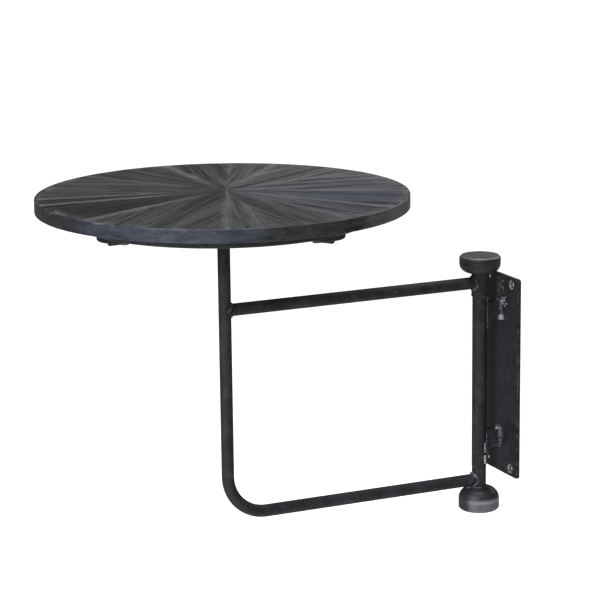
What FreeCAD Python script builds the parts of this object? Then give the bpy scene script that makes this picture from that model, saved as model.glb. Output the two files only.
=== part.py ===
import FreeCAD, Part
import math
import os
import Sketcher
from FreeCAD import Placement, Rotation, Vector

# Round wall table on a swinging iron arm, in millimetres and degrees.
# Origin: centre of the wall plate's back face. +Z is up and the room lies towards -Y.
# The arm points straight out of the wall.

# Driving sizes
SIZES = {
    # Wall plate and its screw holes
    "plate_width": 86,
    "plate_height": 232,
    "plate_thickness": 3.5,
    "plate_corner": 3,
    "screw_hole": 5,
    "countersink": 10,
    "hole_from_side": 16,
    "hole_from_end": 8.5,
    # Hinge
    "hinge_offset": 29,
    "sleeve_diameter": 17,
    "sleeve_length": 199.2,
    "sleeve_drop": 7.5,
    "standoff_width": 10,
    "standoff_height": 20,
    "upper_standoff_inset": 17.1,
    "lower_standoff_inset": 32.1,
    "pin_diameter": 10,
    "running_clearance": 0.05,
    "end_play": 0.3,
    "upper_collar_diameter": 19.4,
    "upper_collar_length": 27.6,
    "lower_collar_diameter": 16.4,
    "lower_collar_length": 24.5,
    "knob_diameter": 46.8,
    "knob_bevel": 2.2,
    "pin_seat": 10,
    "top_knob_height": 19.7,
    "top_knob_rounding": 10.4,
    "bottom_knob_height": 26.2,
    "bottom_knob_rounding": 14,
    # Round bar of the arm and the post
    "bar_diameter": 13.8,
    "arm_reach": 312.3,
    "bend_radius": 45,
    "upper_bar_seat": 15.7,
    "lower_bar_seat": 15.8,
    "top_rise": 127.8,
    # Spider under the top
    "spider_turn_angle": 35.2,
    "hub_diameter": 24,
    "hub_height": 18,
    "spider_reach": 134.5,
    "arm_drop": 0.4,
    "pad_distance": 123.2,
    "pad_diameter": 46.8,
    "pad_thickness": 9,
    "pad_edge": 2.4,
    "pad_hole": 4.6,
    "pad_hole_spread": 29,
    "screw_shank": 4,
    "screw_shank_length": 19,
    "screw_head": 8,
    "screw_head_height": 2.4,
    "pilot_spare": 0.5,
    # Wooden top
    "top_diameter": 400,
    "stave_thickness": 14.4,
    "seam_gap": 0.5,
    "band_thickness": 2,
    "band_gap": 0.2,
    "band_edge": 0.7,
    "base_board_diameter": 316,
    "base_board_thickness": 13.6,
    "base_board_edge": 1.5,
    "burst_x": -20,
    "burst_y": 12,
    "first_seam_angle": 61.2,
}

# The staves meet at the burst, which lies burst_x and burst_y from the middle of the top.
# Share of the full turn about it that each stave takes, in order from the first seam
STAVE_SHARES = [41, 36, 18, 24, 34, 44, 10, 28, 41, 13, 23, 20, 28]

# Sizes worked out from the driving ones
WORKED_OUT = {
    "hinge_y": "-hinge_offset",
    "post_y": "-hinge_offset - arm_reach",
    "bore_diameter": "pin_diameter + 2 * running_clearance",
    "sleeve_bottom": "-sleeve_drop - sleeve_length / 2",
    "sleeve_top": "-sleeve_drop + sleeve_length / 2",
    "upper_standoff_z": "sleeve_top - upper_standoff_inset",
    "lower_standoff_z": "sleeve_bottom + lower_standoff_inset",
    "upper_collar_bottom": "sleeve_top + end_play",
    "lower_collar_bottom": "sleeve_bottom - end_play - lower_collar_length",
    "top_knob_bottom": "upper_collar_bottom + upper_collar_length",
    "bottom_knob_bottom": "lower_collar_bottom - bottom_knob_height",
    "pin_bottom": "lower_collar_bottom - pin_seat",
    "pin_top": "top_knob_bottom + pin_seat",
    "upper_bar_z": "upper_collar_bottom + upper_bar_seat",
    "lower_bar_z": "sleeve_bottom - end_play - lower_bar_seat",
    "top_z": "upper_bar_z + top_rise",
    "stave_bottom": "top_z - stave_thickness",
    "board_bottom": "stave_bottom - base_board_thickness",
    "spider_z": "board_bottom - arm_drop - bar_diameter / 2",
    "band_bore": "top_diameter - 2 * band_thickness",
    "stave_radius": "band_bore / 2 - band_gap",
    "pilot_depth": "screw_shank_length - pad_thickness + pilot_spare",
}

# Number of arms under the top
SPIDER_ARMS = 3

# Lengths closer than this count as equal when edges are picked
SAME_LENGTH = 1e-4

doc = FreeCAD.newDocument("round_wall_table")
sheet = doc.addObject("Spreadsheet::Sheet", "sizes")


# Sheet of sizes

def write_row(row, name, content):
    sheet.set(f"A{row}", name)
    sheet.set(f"B{row}", content)
    sheet.setAlias(f"B{row}", name)


def write_sheet():
    row = 1
    for name, value in SIZES.items():
        write_row(row, name, str(value))
        row += 1
    share_names = []
    for number, share in enumerate(STAVE_SHARES, start=1):
        share_names.append(f"share_{number:02d}")
        write_row(row, share_names[-1], str(share))
        row += 1
    write_row(row, "share_total", "=" + " + ".join(share_names))
    row += 1
    for name, formula in WORKED_OUT.items():
        write_row(row, name, "=" + formula)
        row += 1
    doc.recompute()


def value_of(expression):
    result = sheet.evalExpression(expression)
    return float(getattr(result, "Value", result))


# Helpers for bodies, sketches and features

def place(item, x="0", y="0", z="0", turn="0"):
    """Sets where a piece lies and how far it is turned about the vertical."""
    item.Placement = Placement(Vector(), Rotation(Vector(0, 0, 1), value_of(turn)))
    item.setExpression("Placement.Base.x", x)
    item.setExpression("Placement.Base.y", y)
    item.setExpression("Placement.Base.z", z)
    if turn != "0":
        item.setExpression("Placement.Rotation.Angle", f"({turn}) * 1 deg")


def new_body(label):
    body = doc.addObject("PartDesign::Body", label)
    body.Label = label
    return body


def sketch_on(body, plane, name, offset=None):
    """Starts a sketch on one of the body's own planes, moved along its normal if asked."""
    sketch = body.newObject("Sketcher::SketchObject", name)
    support = [item for item in body.Origin.OriginFeatures if item.Role == plane]
    sketch.AttachmentSupport = [(support[0], "")]
    sketch.MapMode = "FlatFace"
    if offset:
        sketch.setExpression("AttachmentOffset.Base.z", offset)
    return sketch


def dimension(sketch, name, expression, kind, *where):
    """Adds one named dimension and ties it to the sheet."""
    rule = Sketcher.Constraint(kind, *where, value_of(expression))
    sketch.renameConstraint(sketch.addConstraint(rule), name)
    sketch.setExpression(f"Constraints.{name}", expression)


def angle_dimension(sketch, name, expression, *where):
    """Adds one named angle, given in degrees, and ties it to the sheet."""
    start = FreeCAD.Units.Quantity(value_of(expression), FreeCAD.Units.Angle)
    rule = Sketcher.Constraint("Angle", *where, start)
    sketch.renameConstraint(sketch.addConstraint(rule), name)
    sketch.setExpression(f"Constraints.{name}", f"({expression}) * 1 deg")


def locate(sketch, name, geometry, point, x, y):
    """Ties a point of the sketch to its distances from the origin."""
    if x == "0":
        sketch.addConstraint(Sketcher.Constraint("PointOnObject", geometry, point, -2))
    else:
        dimension(sketch, f"{name}_x", x, "DistanceX", -1, 1, geometry, point)
    if y == "0":
        sketch.addConstraint(Sketcher.Constraint("PointOnObject", geometry, point, -1))
    else:
        dimension(sketch, f"{name}_y", y, "DistanceY", -1, 1, geometry, point)


def circle(sketch, name, diameter, x="0", y="0"):
    centre = Vector(value_of(x), value_of(y), 0)
    shape = Part.Circle(centre, Vector(0, 0, 1), value_of(diameter) / 2)
    geometry = sketch.addGeometry(shape)
    dimension(sketch, f"{name}_diameter", diameter, "Diameter", geometry)
    locate(sketch, name, geometry, 3, x, y)


def outline(sketch, points):
    """Draws a closed outline of straight lines through the points, joined at its corners."""
    count = len(points)
    lines = []
    for index in range(count):
        segment = Part.LineSegment(points[index], points[(index + 1) % count])
        lines.append(sketch.addGeometry(segment))
    for index in range(count):
        joint = Sketcher.Constraint("Coincident", lines[index], 2, lines[(index + 1) % count], 1)
        sketch.addConstraint(joint)
    return lines


def rectangle(sketch, width, height):
    """Draws an upright rectangle centred on the sketch's origin."""
    across = value_of(width) / 2
    upward = value_of(height) / 2
    corners = [Vector(-across, -upward, 0), Vector(across, -upward, 0)]
    corners += [Vector(across, upward, 0), Vector(-across, upward, 0)]
    bottom, right, top, left = outline(sketch, corners)
    for line in (bottom, top):
        sketch.addConstraint(Sketcher.Constraint("Horizontal", line))
    for line in (right, left):
        sketch.addConstraint(Sketcher.Constraint("Vertical", line))
    sketch.addConstraint(Sketcher.Constraint("Symmetric", bottom, 1, top, 1, -1, 1))
    dimension(sketch, "width", width, "DistanceX", bottom, 1, bottom, 2)
    dimension(sketch, "height", height, "DistanceY", right, 1, right, 2)


def pad(body, sketch, name, length, against_normal=False):
    feature = body.newObject("PartDesign::Pad", name)
    feature.Profile = sketch
    feature.Reversed = against_normal
    feature.setExpression("Length", length)
    doc.recompute()
    return feature


def cut_through(body, sketch, name):
    """Cuts the sketch through the whole body, both ways from its plane."""
    before = body.Shape.Volume
    feature = body.newObject("PartDesign::Pocket", name)
    feature.Profile = sketch
    feature.Type = "ThroughAll"
    feature.SideType = "Symmetric"
    doc.recompute()
    if not body.Shape.Volume < before:
        raise RuntimeError(f"{body.Label}: {name} cuts nothing")
    return feature


def cut_blind(body, sketch, name, depth, along_normal):
    """Cuts the sketch to a depth, along its normal or against it."""
    before = body.Shape.Volume
    feature = body.newObject("PartDesign::Pocket", name)
    feature.Profile = sketch
    feature.Reversed = along_normal
    feature.setExpression("Length", depth)
    doc.recompute()
    if not body.Shape.Volume < before:
        raise RuntimeError(f"{body.Label}: {name} cuts nothing")
    return feature


def edges_where(feature, test):
    """Names the edges of a feature that pass a test."""
    edges = feature.Shape.Edges
    return [f"Edge{index}" for index, edge in enumerate(edges, start=1) if test(edge)]


def near(first, second):
    return abs(first - second) < SAME_LENGTH


def is_circle_at(edge, axis, level, radius=None):
    """True for a full circle whose centre lies at a level along an axis, 0, 1 or 2."""
    if not isinstance(edge.Curve, Part.Circle):
        return False
    if radius is not None and not near(edge.Curve.Radius, radius):
        return False
    return near(edge.Curve.Center[axis], level)


def round_edges(body, feature, name, radius, edge_names):
    fillet = body.newObject("PartDesign::Fillet", name)
    fillet.Base = (feature, edge_names)
    fillet.setExpression("Radius", radius)
    doc.recompute()
    return fillet


def bevel_edges(body, feature, name, size, edge_names):
    chamfer = body.newObject("PartDesign::Chamfer", name)
    chamfer.Base = (feature, edge_names)
    chamfer.setExpression("Size", size)
    doc.recompute()
    return chamfer


# Wall bracket

def wall_plate():
    body = new_body("wall_plate")
    face = sketch_on(body, "XZ_Plane", "plate_face")
    rectangle(face, "sizes.plate_width", "sizes.plate_height")
    plate = pad(body, face, "plate", "sizes.plate_thickness")
    corners = edges_where(plate, lambda edge: near(edge.Length, value_of("sizes.plate_thickness")))
    round_edges(body, plate, "plate_corners", "sizes.plate_corner", corners)

    holes = sketch_on(body, "XZ_Plane", "plate_holes")
    across = "(sizes.plate_width / 2 - sizes.hole_from_side)"
    upward = "(sizes.plate_height / 2 - sizes.hole_from_end)"
    for side, side_name in ((-1, "left"), (1, "right")):
        for level, level_name in ((-1, "low"), (1, "high")):
            name = f"{level_name}_{side_name}"
            circle(holes, name, "sizes.screw_hole", f"{side} * {across}", f"{level} * {upward}")
    drilled = cut_through(body, holes, "screw_holes")
    front = -value_of("sizes.plate_thickness")
    hole_radius = value_of("sizes.screw_hole / 2")
    mouths = edges_where(drilled, lambda edge: is_circle_at(edge, 1, front, hole_radius))
    bevel_edges(body, drilled, "countersinks", "(sizes.countersink - sizes.screw_hole) / 2", mouths)
    place(body)
    return body


def standoff(label):
    """Block from the plate to the hinge sleeve, shaped to the sleeve's round."""
    body = new_body(label)
    end = sketch_on(body, "XZ_Plane", f"{label}_end")
    rectangle(end, "sizes.standoff_width", "sizes.standoff_height")
    pad(body, end, f"{label}_block", "sizes.hinge_offset - sizes.plate_thickness")
    cope = sketch_on(body, "XY_Plane", f"{label}_cope")
    circle(cope, "sleeve", "sizes.sleeve_diameter", "0", "-(sizes.hinge_offset - sizes.plate_thickness)")
    cut_through(body, cope, f"{label}_saddle")
    place(body, y="-sizes.plate_thickness", z=f"sizes.{label}_z")
    return body


# Round pieces on an upright axis

def tube(label, outer, bore, length, y, z):
    body = new_body(label)
    section = sketch_on(body, "XY_Plane", f"{label}_section")
    circle(section, "outer", outer)
    circle(section, "bore", bore)
    pad(body, section, f"{label}_wall", length)
    place(body, y=y, z=z)
    return body


def hinge_pin():
    body = new_body("hinge_pin")
    section = sketch_on(body, "XY_Plane", "pin_section")
    circle(section, "pin", "sizes.pin_diameter")
    pad(body, section, "pin_length", "sizes.pin_top - sizes.pin_bottom")
    place(body, y="sizes.hinge_y", z="sizes.pin_bottom")
    return body


def knob(label, height, rounding, rounded_end_up, z):
    """Round cap with a blind bore for the pin in its rounded end."""
    body = new_body(label)
    section = sketch_on(body, "XY_Plane", f"{label}_section")
    circle(section, "rim", "sizes.knob_diameter")
    blank = pad(body, section, f"{label}_blank", height)
    rounded_level = value_of(height) if rounded_end_up else 0
    flat_level = value_of(height) - rounded_level
    rounded_edge = edges_where(blank, lambda edge: is_circle_at(edge, 2, rounded_level))
    rounded = round_edges(body, blank, f"{label}_shoulder", rounding, rounded_edge)
    flat_edge = edges_where(rounded, lambda edge: is_circle_at(edge, 2, flat_level))
    bevel_edges(body, rounded, f"{label}_bevel", "sizes.knob_bevel", flat_edge)

    mouth = sketch_on(body, "XY_Plane", f"{label}_mouth", height if rounded_end_up else None)
    circle(mouth, "bore", "sizes.bore_diameter")
    depth = "sizes.pin_seat + sizes.running_clearance"
    cut_blind(body, mouth, f"{label}_bore", depth, not rounded_end_up)
    place(body, y="sizes.hinge_y", z=z)
    return body


# Arm and post

def post_bar():
    """Post and lower bar in one length, bent a quarter turn and shaped to the lower collar."""
    body = new_body("post_bar")
    route = sketch_on(body, "YZ_Plane", "post_route")
    reach = value_of("sizes.arm_reach")
    rise = value_of("sizes.board_bottom - sizes.lower_bar_z")
    bend = value_of("sizes.bend_radius")
    low = route.addGeometry(Part.LineSegment(Vector(0, 0, 0), Vector(bend - reach, 0, 0)))
    middle = Part.Circle(Vector(bend - reach, bend, 0), Vector(0, 0, 1), bend)
    curve = route.addGeometry(Part.ArcOfCircle(middle, math.pi, 1.5 * math.pi))
    post = route.addGeometry(Part.LineSegment(Vector(-reach, bend, 0), Vector(-reach, rise, 0)))
    route.addConstraint(Sketcher.Constraint("Coincident", low, 1, -1, 1))
    route.addConstraint(Sketcher.Constraint("Horizontal", low))
    route.addConstraint(Sketcher.Constraint("Vertical", post))
    route.addConstraint(Sketcher.Constraint("Tangent", low, 2, curve, 2))
    route.addConstraint(Sketcher.Constraint("Tangent", curve, 1, post, 1))
    dimension(route, "bend", "sizes.bend_radius", "Radius", curve)
    dimension(route, "reach", "-sizes.arm_reach", "DistanceX", -1, 1, post, 2)
    dimension(route, "rise", "sizes.board_bottom - sizes.lower_bar_z", "DistanceY", -1, 1, post, 2)
    section = sketch_on(body, "XZ_Plane", "post_section")
    circle(section, "bar", "sizes.bar_diameter")
    pipe = body.newObject("PartDesign::AdditivePipe", "post_pipe")
    pipe.Profile = section
    pipe.Spine = (route, ["Edge1", "Edge2", "Edge3"])
    doc.recompute()
    cope = sketch_on(body, "XY_Plane", "post_cope")
    circle(cope, "collar", "sizes.lower_collar_diameter")
    cut_through(body, cope, "post_saddle")
    place(body, y="sizes.hinge_y", z="sizes.lower_bar_z")
    return body


def upper_bar():
    """Straight bar, shaped to the collar at one end and to the post at the other."""
    body = new_body("upper_bar")
    section = sketch_on(body, "XZ_Plane", "upper_section")
    circle(section, "bar", "sizes.bar_diameter")
    pad(body, section, "upper_length", "sizes.arm_reach")
    cope = sketch_on(body, "XY_Plane", "upper_cope")
    circle(cope, "collar", "sizes.upper_collar_diameter")
    circle(cope, "post", "sizes.bar_diameter", "0", "-sizes.arm_reach")
    cut_through(body, cope, "upper_saddles")
    place(body, y="sizes.hinge_y", z="sizes.upper_bar_z")
    return body


# Spider that carries the top

def pair_of_circles(sketch, name, diameter):
    """Two circles on an arm's pad, one on each side of the arm."""
    for side, side_name in ((-1, "right"), (1, "left")):
        aside = f"{side} * sizes.pad_hole_spread / 2"
        circle(sketch, f"{name}_{side_name}", diameter, "sizes.pad_distance", aside)


def spider_arm(number):
    """Round arm from the hub outwards, with a round pad at its end that takes two screws."""
    label = f"spider_arm_{number:02d}"
    body = new_body(label)
    pad_top = "sizes.bar_diameter / 2 + sizes.arm_drop"
    plate = sketch_on(body, "XY_Plane", f"{label}_pad_outline", pad_top)
    circle(plate, "pad", "sizes.pad_diameter", "sizes.pad_distance")
    disc = pad(body, plate, f"{label}_pad", "sizes.pad_thickness", against_normal=True)
    low = value_of(f"{pad_top} - sizes.pad_thickness")
    low_edge = edges_where(disc, lambda edge: is_circle_at(edge, 2, low))
    round_edges(body, disc, f"{label}_pad_edge", "sizes.pad_edge", low_edge)
    section = sketch_on(body, "YZ_Plane", f"{label}_section")
    circle(section, "bar", "sizes.bar_diameter")
    pad(body, section, f"{label}_bar", "sizes.spider_reach")

    cuts = sketch_on(body, "XY_Plane", f"{label}_cuts")
    circle(cuts, "hub", "sizes.hub_diameter")
    pair_of_circles(cuts, "screw", "sizes.pad_hole")
    cut_through(body, cuts, f"{label}_hub_and_screws")
    turn = f"sizes.spider_turn_angle + {number - 1} * 360 / {SPIDER_ARMS}"
    place(body, y="sizes.post_y", z="sizes.spider_z", turn=turn)
    return body


def around(body, features, name):
    """Repeats features of a body evenly about its upright axis, once for each spider arm."""
    axis = [item for item in body.Origin.OriginFeatures if item.Role == "Z_Axis"]
    pattern = body.newObject("PartDesign::PolarPattern", name)
    pattern.Originals = features
    pattern.Axis = (axis[0], [""])
    pattern.Angle = 360
    pattern.Occurrences = SPIDER_ARMS
    body.Tip = pattern
    doc.recompute()


def spider_screws():
    """Screws up through the arms' pads, as one group of separate solids."""
    body = new_body("spider_screws")
    body.AllowCompound = True
    head = sketch_on(body, "XY_Plane", "screw_head_outline", "-sizes.screw_head_height")
    pair_of_circles(head, "head", "sizes.screw_head")
    head_disc = pad(body, head, "screw_head_disc", "sizes.screw_head_height")
    shank = sketch_on(body, "XY_Plane", "screw_shank_outline")
    pair_of_circles(shank, "shank", "sizes.screw_shank")
    shank_rod = pad(body, shank, "screw_shank_rod", "sizes.screw_shank_length")
    around(body, [head_disc, shank_rod], "screw_group")
    place(body, y="sizes.post_y", z="sizes.board_bottom - sizes.pad_thickness",
          turn="sizes.spider_turn_angle")
    return body


# Wooden top

def base_board():
    """Round board between the spider and the staves, with a pilot hole for each screw."""
    body = new_body("base_board")
    section = sketch_on(body, "XY_Plane", "board_outline")
    circle(section, "board", "sizes.base_board_diameter")
    board = pad(body, section, "board", "sizes.base_board_thickness")
    low_edge = edges_where(board, lambda edge: is_circle_at(edge, 2, 0))
    round_edges(body, board, "board_low_edge", "sizes.base_board_edge", low_edge)
    pilot = sketch_on(body, "XY_Plane", "pilot_outline")
    pair_of_circles(pilot, "pilot", "sizes.screw_shank + 2 * sizes.running_clearance")
    hole = cut_blind(body, pilot, "pilot_hole", "sizes.pilot_depth", True)
    around(body, [hole], "pilot_holes")
    place(body, y="sizes.post_y", z="sizes.board_bottom", turn="sizes.spider_turn_angle")
    return body


def rim_band():
    """Iron hoop around the staves, with its outer edges eased."""
    body = new_body("rim_band")
    section = sketch_on(body, "XY_Plane", "band_section")
    circle(section, "outer", "sizes.top_diameter")
    circle(section, "bore", "sizes.band_bore")
    hoop = pad(body, section, "hoop", "sizes.stave_thickness")
    outer = value_of("sizes.top_diameter / 2")
    height = value_of("sizes.stave_thickness")
    rims = edges_where(hoop, lambda edge: is_circle_at(edge, 2, 0, outer))
    rims += edges_where(hoop, lambda edge: is_circle_at(edge, 2, height, outer))
    round_edges(body, hoop, "eased_rims", "sizes.band_edge", rims)
    place(body, y="sizes.post_y", z="sizes.stave_bottom")
    return body


def rim_end(tip, middle, radius, angle):
    """Where a line that leaves the tip at an angle to +X meets a circle about the middle."""
    way = Vector(math.cos(angle), math.sin(angle), 0)
    offset = tip - middle
    along = offset.dot(way)
    reach = math.sqrt(along ** 2 - offset.dot(offset) + radius ** 2) - along
    return tip + way * reach


def stave(number):
    """One wedge of the top, with even seams to its neighbours. Before it is turned it runs along +X."""
    label = f"stave_{number:02d}"
    body = new_body(label)
    share = f"sizes.share_{number:02d}"
    half_angle = f"180 * {share} / sizes.share_total"
    earlier = [f"sizes.share_{index:02d}" for index in range(1, number)]
    before = " + ".join(earlier + [f"{share} / 2"])
    turn = f"sizes.first_seam_angle + 360 * ({before}) / sizes.share_total"
    cosine = f"cos(({turn}) * 1 deg)"
    sine = f"sin(({turn}) * 1 deg)"
    point = f"sizes.seam_gap / 2 / sin(({half_angle}) * 1 deg)"
    middle_x = f"-sizes.burst_x * {cosine} - sizes.burst_y * {sine}"
    middle_y = f"sizes.burst_x * {sine} - sizes.burst_y * {cosine}"
    plan = sketch_on(body, "XY_Plane", f"{label}_plan")
    radius = value_of("sizes.stave_radius")
    lean = math.radians(value_of(half_angle))
    tip = Vector(value_of(point), 0, 0)
    middle = Vector(value_of(middle_x), value_of(middle_y), 0)
    left_end = rim_end(tip, middle, radius, lean)
    right_end = rim_end(tip, middle, radius, -lean)
    left = plan.addGeometry(Part.LineSegment(tip, left_end))
    right = plan.addGeometry(Part.LineSegment(tip, right_end))
    rim = Part.Circle(middle, Vector(0, 0, 1), radius)
    curve = plan.addGeometry(Part.ArcOfCircle(rim, rim.parameter(right_end), rim.parameter(left_end)))
    plan.addConstraint(Sketcher.Constraint("Coincident", left, 1, right, 1))
    plan.addConstraint(Sketcher.Constraint("Coincident", right, 2, curve, 1))
    plan.addConstraint(Sketcher.Constraint("Coincident", left, 2, curve, 2))
    plan.addConstraint(Sketcher.Constraint("PointOnObject", left, 1, -1))
    locate(plan, "middle", curve, 3, middle_x, middle_y)
    dimension(plan, "radius", "sizes.stave_radius", "Radius", curve)
    dimension(plan, "point", point, "DistanceX", -1, 1, left, 1)
    angle_dimension(plan, "half_angle", half_angle, left)
    angle_dimension(plan, "whole_angle", f"2 * {half_angle}", right, 1, left, 1)
    pad(body, plan, f"{label}_board", "sizes.stave_thickness")
    place(body, x="sizes.burst_x", y="sizes.post_y + sizes.burst_y", z="sizes.stave_bottom", turn=turn)
    return body


# Build

write_sheet()
nodes = [
    wall_plate(),
    standoff("upper_standoff"),
    standoff("lower_standoff"),
    tube("hinge_sleeve", "sizes.sleeve_diameter", "sizes.bore_diameter", "sizes.sleeve_length",
         "sizes.hinge_y", "sizes.sleeve_bottom"),
    hinge_pin(),
    tube("upper_collar", "sizes.upper_collar_diameter", "sizes.bore_diameter",
         "sizes.upper_collar_length", "sizes.hinge_y", "sizes.upper_collar_bottom"),
    tube("lower_collar", "sizes.lower_collar_diameter", "sizes.bore_diameter",
         "sizes.lower_collar_length", "sizes.hinge_y", "sizes.lower_collar_bottom"),
    knob("top_knob", "sizes.top_knob_height", "sizes.top_knob_rounding", False,
         "sizes.top_knob_bottom"),
    knob("bottom_knob", "sizes.bottom_knob_height", "sizes.bottom_knob_rounding", True,
         "sizes.bottom_knob_bottom"),
    post_bar(),
    upper_bar(),
    tube("spider_hub", "sizes.hub_diameter", "sizes.bar_diameter + 2 * sizes.running_clearance",
         "sizes.hub_height", "sizes.post_y", "sizes.board_bottom - sizes.hub_height"),
    spider_screws(),
    base_board(),
    rim_band(),
]
nodes += [spider_arm(number) for number in range(1, SPIDER_ARMS + 1)]
nodes += [stave(number) for number in range(1, len(STAVE_SHARES) + 1)]
doc.recompute()


# Check every object, then export one file for each piece

for item in doc.Objects:
    if "Invalid" in item.State or "Error" in item.State:
        raise RuntimeError(f"{item.Label}: {item.State}")
os.makedirs("parts", exist_ok=True)
for node in nodes:
    if node.Shape.isNull() or not node.Shape.isValid():
        raise RuntimeError(f"{node.Label}: bad shape")
    node.Shape.exportStep(f"parts/{node.Label}.step")
    box = node.Shape.BoundBox
    print(f"{node.Label}: {len(node.Shape.Solids)} solids, {node.Shape.Volume:.0f} mm3, "
          f"x {box.XMin:.1f} to {box.XMax:.1f}, y {box.YMin:.1f} to {box.YMax:.1f}, "
          f"z {box.ZMin:.1f} to {box.ZMax:.1f}")
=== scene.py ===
import math
import random
import bmesh
import bpy
from mathutils import Matrix, Vector


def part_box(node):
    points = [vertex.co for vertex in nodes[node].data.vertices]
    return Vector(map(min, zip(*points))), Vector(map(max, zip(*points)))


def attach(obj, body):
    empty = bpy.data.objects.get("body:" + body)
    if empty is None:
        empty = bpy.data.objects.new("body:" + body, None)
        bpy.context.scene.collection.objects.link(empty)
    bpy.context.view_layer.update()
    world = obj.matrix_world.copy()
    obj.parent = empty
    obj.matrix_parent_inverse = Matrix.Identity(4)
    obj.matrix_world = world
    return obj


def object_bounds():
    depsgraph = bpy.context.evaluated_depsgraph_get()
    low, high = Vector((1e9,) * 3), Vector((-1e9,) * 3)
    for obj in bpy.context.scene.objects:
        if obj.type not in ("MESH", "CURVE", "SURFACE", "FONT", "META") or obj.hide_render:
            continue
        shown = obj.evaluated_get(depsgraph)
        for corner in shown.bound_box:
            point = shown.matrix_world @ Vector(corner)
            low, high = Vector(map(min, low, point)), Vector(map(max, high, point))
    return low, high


# Looks of the round wall table: surfaces, welds, studio light and the photograph's viewpoint.
# Lengths are metres, in the frame of the solids.

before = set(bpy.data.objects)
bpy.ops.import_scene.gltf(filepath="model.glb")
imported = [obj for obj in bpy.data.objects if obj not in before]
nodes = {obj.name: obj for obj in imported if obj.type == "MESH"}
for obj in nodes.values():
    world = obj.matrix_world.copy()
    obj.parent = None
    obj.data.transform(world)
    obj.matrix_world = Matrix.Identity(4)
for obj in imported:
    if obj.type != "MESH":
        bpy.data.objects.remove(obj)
solids_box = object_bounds()


# Screw holes of the plate, measured from its middle, and the wall of the hoop
HOLE_X = 0.027
HOLE_Z = 0.1075
HOOP_WALL = 0.003

# Directions: away from the wall, and up
OUT = Vector((0, -1, 0))
UP = Vector((0, 0, 1))


# Places read from the solids

def middle(name):
    """Centre of a solid's box."""
    low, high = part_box(name)
    return (low + high) / 2


def extent(name):
    """Size of a solid's box."""
    low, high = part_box(name)
    return high - low


top_centre = middle("rim_band")
top_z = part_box("rim_band")[1].z
top_radius = extent("rim_band").y / 2
hinge = middle("hinge_sleeve")
post = middle("spider_hub")
bar_radius = extent("upper_bar").z / 2
upper_bar_z = middle("upper_bar").z
lower_bar_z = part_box("post_bar")[0].z + bar_radius
plate_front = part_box("wall_plate")[0].y
staves = sorted(name for name in nodes if name.startswith("stave_"))


def stave_tip(name):
    """Corner of a stave that lies nearest to the middle of the top."""
    corners = [vertex.co for vertex in nodes[name].data.vertices]
    return min(corners, key=lambda corner: (corner - top_centre).to_2d().length)


burst = sum((stave_tip(name) for name in staves), Vector()) / len(staves)


# Nodes that the surfaces share

def grey(level, blue=0.0):
    """Neutral colour of a brightness, leaning to blue by a share of it."""
    return (level * (1 - blue), level * (1 - blue / 2), level * (1 + blue), 1.0)


# Span in which most of a cloudy pattern lies
PATTERN_SPAN = (0.3, 0.7)


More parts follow.
